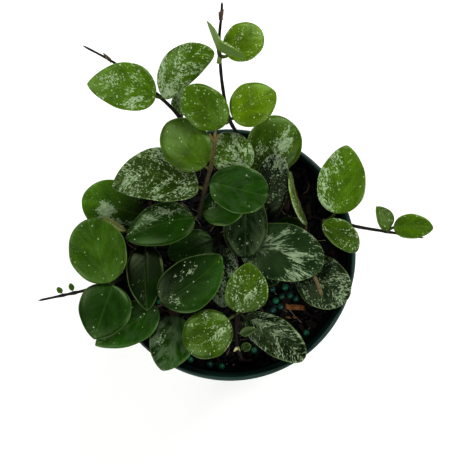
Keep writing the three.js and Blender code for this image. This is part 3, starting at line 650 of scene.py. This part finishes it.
def mix_body():
    """The mix's outer shape: a turned body whose top has the part's lumps with crumbs on them, three
    octaves of lattice noise."""
    wall = np.array(INNER_WALL[:3]) + (-MIX_GAP, MIX_GAP)
    edge = wall[2, 0]
    corners = np.array([(0.5, wall[0, 1]), *wall, (edge, MIX_TOP - 1.6)])
    sides = [start + t * (end - start) for start, end in zip(corners[:-1], corners[1:])
             for t in (0, 0.25, 0.5, 0.75)]
    top = [(edge * share, MIX_TOP) for share in np.linspace(1, 0.01, MIX_RINGS)]
    rings = turned(np.array([*sides, corners[-1], *top]), MIX_SIDES)
    x, y = rings[..., 0], rings[..., 1]
    draw = np.random.default_rng(5)
    crumbs = sum(height * lattice_noise(x, y, cell, draw)
                 for cell, height in ((3.1, 0.55), (1.4, 0.4), (0.7, 0.22)))
    inside = ramp(edge - np.hypot(x, y), 0.0, 2.0)
    rings[-MIX_RINGS:, :, 2] += (lumps(x, y) + inside * crumbs - 0.25)[-MIX_RINGS:]
    # The near-black tone is partly the mix's own colour and partly painted shade inside the pot.
    return shell_of(rings, tone=srgb("#050405"))


def mulberry(seed):
    """The part's seeded draw of numbers from 0 to 1."""
    state, mask = seed, 0xFFFFFFFF
    while True:
        state = (state + 0x6D2B79F5) & mask
        t = (state ^ (state >> 15)) * (1 | state) & mask
        t = (t + ((t ^ (t >> 7)) * (61 | t) & mask) & mask) ^ t
        yield (t ^ (t >> 14)) / 4294967296


def part_pieces():
    """Places of the prills and chips as the part's source draws them. A chip is its place, length,
    width, heading and tilt."""
    draw = mulberry(7)
    feet = np.array([vine["stem"][0][:2] for vine in VINES], float)

    def spot():
        radius, angle = 55 * math.sqrt(next(draw)), TAU * next(draw)
        return radius * math.cos(angle), radius * math.sin(angle)

    def clear(place):
        return np.linalg.norm(feet - place, axis=1).min() > STEM_CLEARANCE

    chips = [(OPEN_CHIP, 9.6, 3.4, -0.1, 0.06)]
    for _ in range(16):
        place = spot()
        row = (place, 5 + 5 * next(draw), 2.5 + 2.5 * next(draw), math.pi * next(draw),
               0.5 * next(draw) - 0.25)
        if clear(place):
            chips.append(row)
    prills = OPEN_PRILLS + [place for place in (spot() for _ in range(9)) if clear(place)]
    return prills, chips


def scattered(draw, count, radius):
    """Random places spread evenly over a disc."""
    r, angle = radius * np.sqrt(draw.random(count)), TAU * draw.random(count)
    return stacked(r * np.cos(angle), r * np.sin(angle))


def slab(place, size, heading, tilt, lean, draw, tone):
    """A flake of bark: a rough bar whose section is a flat oval and whose ends are broken off
    square. size is its length, width and thickness."""
    length, width, thick = size
    angles = TAU * (np.arange(8) + 0.5) / 8
    swell = draw.uniform(0.75, 1.05, (6, 8)) * np.array([0.86, 1, 1, 1, 1, 0.84])[:, None]
    x = np.linspace(-0.5, 0.5, 6)[:, None] * length + draw.uniform(-0.25, 0.25, (6, 8))
    y = 0.5 * width * np.sign(np.cos(angles)) * np.abs(np.cos(angles)) ** 0.5 * swell
    z = 0.5 * thick * np.sign(np.sin(angles)) * np.abs(np.sin(angles)) ** 0.6 * swell
    z = z + x * math.tan(tilt) + y * math.tan(lean)
    c, s = math.cos(heading), math.sin(heading)
    height = MIX_TOP + lumps(*place) + 0.1 + 0.35 * thick
    rings = stacked(place[0] + c * x - s * y, place[1] + s * x + c * y, height + z)
    return shell_of(rings, tone=srgb(tone))


def ball(place, radius, squash, rings, sides, draw, rough, tone):
    """A ball of rings and sides, its radius made uneven by a share `rough`."""
    polar = np.linspace(0.12, math.pi - 0.12, rings)[:, None]
    turn = TAU * np.arange(sides) / sides
    size = radius * (1 + rough * draw.uniform(-1, 1, (rings, sides)))
    height = MIX_TOP + lumps(*place) + 0.35 * radius
    points = stacked(place[0] + size * np.sin(polar) * np.cos(turn),
                     place[1] + size * np.sin(polar) * np.sin(turn),
                     height + squash * size * np.cos(polar))
    return shell_of(points, tone=srgb(tone))


def bark_flakes(draw, chips):
    """The part's chips and many smaller flakes, thrown down at random."""
    flakes = [slab(place, (length, width, 2.2), heading, tilt, draw.uniform(-0.2, 0.2), draw,
                   "#8a5c34" if place == OPEN_CHIP else BARK_AND_SHADE_TONES[draw.integers(6)])
              for place, length, width, heading, tilt in chips]
    for _ in range(FLAKES):
        size = (draw.uniform(3, 8), draw.uniform(1.4, 3.6), draw.uniform(0.6, 1.5))
        place = scattered(draw, 1, 59 - 0.55 * size[0])[0]
        flakes.append(slab(place, size, draw.uniform(0, TAU), draw.uniform(-0.35, 0.35),
                           draw.uniform(-0.5, 0.5), draw, BARK_AND_SHADE_TONES[draw.integers(6)]))
    flakes.append(slab((31.5, -32.0), (6.5, 1.3, 1.2), -0.06, 0.05, 0.1, draw, "#7a5a30"))
    return flakes


def bark_crumbs(draw):
    """Dark crumbs, and a few pale grains among them."""
    crumbs = [ball(place, draw.uniform(0.35, 1.0), 0.7, 5, 7, draw, 0.3, BARK_AND_SHADE_TONES[draw.integers(6)])
              for place in scattered(draw, CRUMBS, 58.2)]
    return crumbs + [ball(place, draw.uniform(0.3, 0.7), 0.8, 5, 7, draw, 0.25, "#8f8a80")
                     for place in scattered(draw, PALE_GRAINS, 57)]


def prill_beads(draw, prills):
    """Fertiliser prills, nearly round."""
    return [ball(place, PRILL_RADIUS * draw.uniform(0.86, 1.0), 1.0, 12, 18, draw, 0.012,
                 PRILL_TONES[draw.integers(5)]) for place in prills]


def root_fibres(draw):
    """Dry fibres on the mix, each a thin rod along part of a circle that rises in its middle."""
    fibres = []
    for place in scattered(draw, FIBRES, 57):
        heading, bend = draw.uniform(0, TAU), draw.uniform(-1.6, 1.6)
        length, radius = draw.uniform(5, 16), draw.uniform(0.08, 0.2)
        t = np.linspace(-0.5, 0.5, 12)
        turn = heading + bend * t
        step = length / 11
        x = place[0] + np.cumsum(np.cos(turn)) * step - 6 * step * math.cos(heading)
        y = place[1] + np.cumsum(np.sin(turn)) * step - 6 * step * math.sin(heading)
        if np.hypot(x, y).max() > 58.5:
            continue
        z = MIX_TOP + lumps(x, y) + 0.7 + 0.8 * draw.random() * (1 - (2 * t) ** 2)
        tone = FIBRE_TONES[draw.integers(4)]
        rings = rod(stacked(x, y, z), np.full(12, radius), 6, (0, 0, 1.0))
        fibres.append(shell_of(rings, tone=srgb(tone)))
    return fibres


def add_mix(mix_material, chip_material, prill_material, fibre_material):
    """The mix and what lies in its surface."""
    prills, chips = part_pieces()
    draw = np.random.default_rng(21)
    for name, shells, material in (
            ("bark_mix", [mix_body()], mix_material),
            ("bark_flakes", bark_flakes(draw, chips), chip_material),
            ("bark_crumbs", bark_crumbs(draw), chip_material),
            ("fertiliser_prills", prill_beads(draw, prills), prill_material),
            ("dry_fibres", root_fibres(draw), fibre_material)):
        new_piece(name, shells, [material], ["potting_mix"])


# Materials

SMOOTH = {"interpolation_type": "SMOOTHSTEP"}


def feed(taker, inputs):
    """Gives a node its inputs, by name or number in a dict or in the sockets' order in a list. Each
    is a value or another node's output."""
    for key, value in inputs.items() if isinstance(inputs, dict) else enumerate(inputs):
        if isinstance(value, bpy.types.NodeSocket):
            taker.id_data.links.new(value, taker.inputs[key])
        else:
            taker.inputs[key].default_value = value


def node(tree, kind, inputs=(), **settings):
    """The outputs of a new node of a kind, with its inputs and settings. A MapRange has in its list
    a value, the range that it comes from and, where that isn't 0 to 1, the one that it goes to."""
    made = tree.nodes.new("ShaderNode" + kind)
    for setting, value in settings.items():
        setattr(made, setting, value)
    feed(made, inputs)
    return made.outputs


def new_material(name):
    """A material, its Principled shader and a function that adds a node to it."""
    material = bpy.data.materials.new(name)
    material.use_nodes = True
    tree = material.node_tree
    return material, tree.nodes["Principled BSDF"], partial(node, tree)


def squeezed(add, vein, streak, by):
    """The place on the leaf, squeezed along its veins, so what is drawn there comes out long."""
    scale = add("Math", [streak, -by, 1.0], operation="MULTIPLY_ADD")[0]
    scale = add("CombineXYZ", [scale, 1.0, 1.0])[0]
    return add("VectorMath", [vein, scale], operation="MULTIPLY")[0]


def silver_splashes(add, here, patchy, grain, share, streak):
    """Splashes: the sum of the leaf's grain, of round pits of about 1 mm and of cells and patches
    of several, cut off at a level at which about that share of the face is splashed."""
    rag = add("TexNoise", dict(Vector=patchy, Scale=0.9, Detail=2.0))["Color"]
    ragged = add("VectorMath", [rag, (3.0, 3.0, 0.0), patchy], operation="MULTIPLY_ADD")[0]
    cell = add("TexVoronoi", dict(Vector=ragged, Scale=0.24))["Color"]
    cell = add("SeparateColor", [cell])["Red"]
    broad = add("TexNoise", dict(Vector=patchy, Scale=0.14, Detail=1.0))[0]
    pits = add("TexNoise", dict(Vector=here, Scale=900.0, Detail=2.0))[0]
    grained = add("Math", [streak, 0.36, 1.25], operation="MULTIPLY_ADD")[0]
    pitted = add("Math", [streak, -0.36, 0.85], operation="MULTIPLY_ADD")[0]
    level = 0.0
    for part, weight in ((grain, grained), (pits, pitted), (cell, 0.3), (broad, 0.45), (share, 0.85)):
        level = add("Math", [part, weight, level], operation="MULTIPLY_ADD")[0]
    return add("MapRange", [level, 1.81, 1.92], **SMOOTH)[0]


def round_flecks(add, here, dots):
    """Flecks: small round dots, at most one in each cell of 1.6 mm."""
    speck = add("TexVoronoi", dict(Vector=here, Scale=620.0))
    lot = add("SeparateColor", [speck["Color"]])
    kept = add("Math", [dots, 0.3, lot["Green"]], operation="MULTIPLY_ADD")[0]
    kept = add("MapRange", [kept, 0.97, 1.0], **SMOOTH)[0]
    strength = add("Math", [lot["Blue"], 0.55, 0.3], operation="MULTIPLY_ADD")[0]
    kept = add("Math", [kept, strength], operation="MULTIPLY")[0]
    dot = add("MapRange", [speck["Distance"], 0.3, 0.12], **SMOOTH)[0]
    return add("Math", [dot, kept], operation="MULTIPLY")[0]


def leaf_ground(add, vein, green, grain):
    """Ground colour: a slow change of green, with the grain in it."""
    cloud = add("TexNoise", dict(Vector=vein, Scale=0.12, Detail=2.0))[0]
    value = add("MapRange", [cloud, 0.3, 0.7, 0.72, 1.3])[0]
    grainy = add("Math", [grain, 1.5, 0.25], operation="MULTIPLY_ADD")[0]
    value = add("Math", [value, grainy], operation="MULTIPLY")[0]
    return add("HueSaturation", dict(Value=value, Color=green))[0]


def pale_lines(add, aside, inwards):
    """A paler margin, partly its own and partly a painted highlight on the rolled edge, and a paler
    line over the midrib.
    """
    margin = add("MapRange", [inwards, 0.7, 0.2, 0.0, 0.32], **SMOOTH)[0]
    aside = add("Math", [aside], operation="ABSOLUTE")[0]
    rib = add("MapRange", [aside, 0.55, 0.1, 0.0, 0.1], **SMOOTH)[0]
    return add("Math", [margin, rib], operation="MAXIMUM")[0]


def silver_film(add, drawn, green):
    """How thick the silver is: uneven, and thinner on a darker leaf, which paints shade on the
    splashes of leaves that lie in the shade.
    """
    film = add("TexNoise", dict(Vector=drawn, Scale=0.6, Detail=2.0))[0]
    film = add("MapRange", [film, 0.35, 0.65, 0.5, 1.0])[0]
    shade_dimming = add("SeparateColor", [green])["Green"]
    shade_dimming = add("Math", [shade_dimming, 2.8, 0.68], operation="MULTIPLY_ADD")[0]
    return add("Math", [film, shade_dimming], operation="MULTIPLY", use_clamp=True)[0]


def glazed_leaf():
    """Hoya leaf, upper face: a thick waxy skin over deep green tissue. It is satin, and pockets of
    air under the skin make its silver splashes, which run out along the side veins, and its small
    round flecks."""
    material, shader, add = new_material("hoya_leaf_upper")
    vein = add("Attribute", attribute_name="vein")["Vector"]
    green = add("Attribute", attribute_name="green")["Color"]
    splash, place = (add("SeparateXYZ", [add("Attribute", attribute_name=name)["Vector"]])
                     for name in ("splash", "place"))
    here = add("TexCoord")["Object"]
    drawn, patchy = (squeezed(add, vein, splash["Y"], by) for by in (0.7, 0.4))
    grain = add("TexNoise", dict(Vector=drawn, Scale=1.2, Detail=4.0, Roughness=0.7))[0]
    silver = silver_splashes(add, here, patchy, grain, splash["X"], splash["Y"])
    fleck = round_flecks(add, here, splash["Z"])
    cover = add("Math", [silver, silver_film(add, drawn, green)], operation="MULTIPLY")[0]
    # The grey veil is partly a silver film in the skin and partly painted sheen.
    veil = add("TexNoise", dict(Vector=patchy, Scale=0.22, Detail=2.0))[0]
    veil = add("MapRange", [veil, 0.35, 0.65], **SMOOTH)[0]
    veil = add("Math", [veil, place["X"]], operation="MULTIPLY")[0]
    colour = leaf_ground(add, vein, green, grain)
    # The pale margin colour is partly a painted highlight on the rolled edge.
    for share, paint in ((pale_lines(add, place["Y"], place["Z"]), "#6f8648"), (veil, "#74866a"),
                         (cover, "#96a788"), (fleck, "#b3bf9c")):
        colour = add("Mix", {0: share, 6: colour, 7: srgb(paint)}, data_type="RGBA")[2]
    shown = add("Math", [silver, fleck], operation="MAXIMUM")[0]
    rough = add("Math", [shown, 0.16, 0.26], operation="MULTIPLY_ADD")[0]
    pores = add("TexNoise", dict(Vector=vein, Scale=1.6, Detail=2.0))[0]
    height = add("Math", [shown, 0.35, pores], operation="MULTIPLY_ADD")[0]
    bump = add("Bump", dict(Strength=0.28, Distance=0.0002, Height=height))[0]
    feed(shader, {"Base Color": colour, "Roughness": rough, "Normal": bump, "IOR": 1.4,
                  "Specular Tint": srgb("#d2f0b0")})
    return material


def matt_leaf():
    """Hoya leaf, underside: paler and duller than the upper face, with no splashes."""
    material, shader, add = new_material("hoya_leaf_under")
    green = add("Attribute", attribute_name="green")["Color"]
    vein = add("Attribute", attribute_name="vein")["Vector"]
    cloud = add("TexNoise", dict(Vector=vein, Scale=0.3, Detail=3.0))[0]
    share = add("MapRange", [cloud, 0.3, 0.7, 0.35, 0.6])[0]
    colour = add("Mix", {0: share, 6: green, 7: srgb("#6f8a4c")}, data_type="RGBA")[2]
    bump = add("Bump", dict(Strength=0.2, Distance=0.0002, Height=cloud))[0]
    feed(shader, {"Base Color": colour, "Normal": bump, "Roughness": 0.6, "IOR": 1.45})
    return material


def toned(name, roughness, scale, low, high, bump_height, stretch=(1, 1, 1), coat=0.0,
          shine=0.5):
    """A material that takes its ground colour from the tone attribute and clouds it with noise on
    Object coordinates, from `low` to `high` times as bright. scale is in patches a metre. shine
    is below the usual 0.5 where pores swallow part of the mirrored light."""
    material, shader, add = new_material(name)
    tone = add("Attribute", attribute_name="tone")["Color"]
    place = add("Mapping", dict(Vector=add("TexCoord")["Object"], Scale=stretch))[0]
    cloud = add("TexNoise", dict(Vector=place, Scale=scale, Detail=4.0, Roughness=0.6))[0]
    value = add("MapRange", [cloud, 0.3, 0.7, low, high])[0]
    colour = add("HueSaturation", dict(Value=value, Color=tone))[0]
    bump = add("Bump", dict(Strength=0.6, Distance=bump_height, Height=cloud))[0]
    feed(shader, {"Base Color": colour, "Normal": bump, "Roughness": roughness,
                  "Coat Weight": coat, "Specular IOR Level": shine})
    return material


def moulded_plastic():
    """Nursery pot polypropylene, injection moulded: dark green, satin, with a mould grain, drawn at
    0.6 mm so that it shows, and a bloom of dust and hard water that dulls it in patches."""
    material, shader, add = new_material("pot_polypropylene")
    place = add("TexCoord")["Object"]
    patches = add("TexNoise", dict(Vector=place, Scale=38.0, Detail=5.0, Roughness=0.6))[0]
    dust = add("MapRange", [patches, 0.45, 0.75, 0.0, 0.12])[0]
    colour = add("Mix", {0: dust, 6: srgb("#0b3027"), 7: srgb("#4d635b")}, data_type="RGBA")[2]
    gloss = add("MapRange", [patches, 0.3, 0.7, 0.34, 0.52])[0]
    grain = add("TexNoise", dict(Vector=place, Scale=1600.0, Detail=2.0))[0]
    bump = add("Bump", dict(Strength=0.18, Distance=0.0001, Height=grain))[0]
    feed(shader, {"Base Color": colour, "Roughness": gloss, "Normal": bump, "IOR": 1.49})
    return material


# The stage

def placed(name, data, place):
    """A new object at a place in the scene."""
    made = bpy.data.objects.new(name, data)
    made.location = place
    bpy.context.collection.objects.link(made)
    return made


def add_camera():
    """The photograph looks straight down on the plant."""
    camera = bpy.data.cameras.new("camera")
    camera.lens = camera.sensor_width * CAMERA_HEIGHT / VIEW_WIDTH
    camera.clip_start = 0.05
    place = Vector((*CAMERA_PLACE, POT_HEIGHT + CAMERA_HEIGHT)) * MM
    bpy.context.scene.camera = placed("camera", camera, place)


def add_light(name, azimuth, power):
    """A square softbox that faces the plant."""
    light = bpy.data.lights.new(name, "AREA")
    light.shape, light.size, light.energy = "SQUARE", SOFTBOX_SIZE * MM, power
    x, y = (SOFTBOX_DISTANCE * turn(math.radians(azimuth)) for turn in (math.cos, math.sin))
    place = Vector((x, y, SOFTBOX_HEIGHT)) * MM
    facing = (Vector((0, 0, 0.1)) - place).to_track_quat("-Z", "Y").to_euler()
    placed(name, light, place).rotation_euler = facing


def add_stage():
    """A floor of white paper, four softboxes round the plant and a faint light from all sides."""
    floor = bpy.data.meshes.new("studio_floor")
    floor.from_pydata([(-3, -3, 0), (3, -3, 0), (3, 3, 0), (-3, 3, 0)], [], [(0, 1, 2, 3)])
    paper, shader, _ = new_material("studio_paper")
    feed(shader, {"Base Color": srgb("#f7f7f5"), "Roughness": 0.9})
    floor.materials.append(paper)
    placed("studio_floor", floor, (0, 0, 0))
    for name, (azimuth, power) in SOFTBOXES.items():
        add_light(f"{name}_softbox", azimuth, power)
    world = bpy.data.worlds.new("studio_air")
    world.use_nodes = True
    feed(world.node_tree.nodes["Background"], {"Color": srgb("#ffffff"), "Strength": 0.05})
    bpy.context.scene.world = world
    bpy.context.scene.view_settings.view_transform = "Standard"
    bpy.context.scene.view_settings.gamma = 0.8


add_camera()
add_stage()

# Bark on hoya stems is thin, dark and finely cracked. Chips and fibres are dry wood, and a prill is
# coated with resin, so it is smoother and has a faint gloss.
stem_bark = toned("hoya_stem_bark", 0.7, 900.0, 0.5, 1.6, 0.0003, shine=0.25)
mix_bark = toned("composted_bark", 0.9, 500.0, 0.4, 1.5, 0.0006, shine=0.2)
chip_bark = toned("pine_bark_flake", 0.8, 700.0, 0.5, 1.6, 0.0005, stretch=(1, 0.6, 1),
                  shine=0.3)
prill_coat = toned("prill_resin_coat", 0.35, 600.0, 0.8, 1.15, 0.0001, coat=0.3)
dry_fibre = toned("dry_root_fibre", 0.75, 900.0, 0.7, 1.3, 0.0002, shine=0.3)

add_pot(moulded_plastic())
add_mix(mix_bark, chip_bark, prill_coat, dry_fibre)

upper, under = glazed_leaf(), matt_leaf()
leaf_number = 0
for vine in VINES:
    short = vine["name"].removeprefix("vine_")
    new_piece(f"{short}_stem", stem_shells(vine), [stem_bark], [vine["name"]])
    blades = [leaf_shell(row, leaf_number + i) for i, row in enumerate(vine["leaves"])]
    leaf_number += len(blades)
    new_piece(f"{short}_leaves", blades, [upper, under], [vine["name"]])
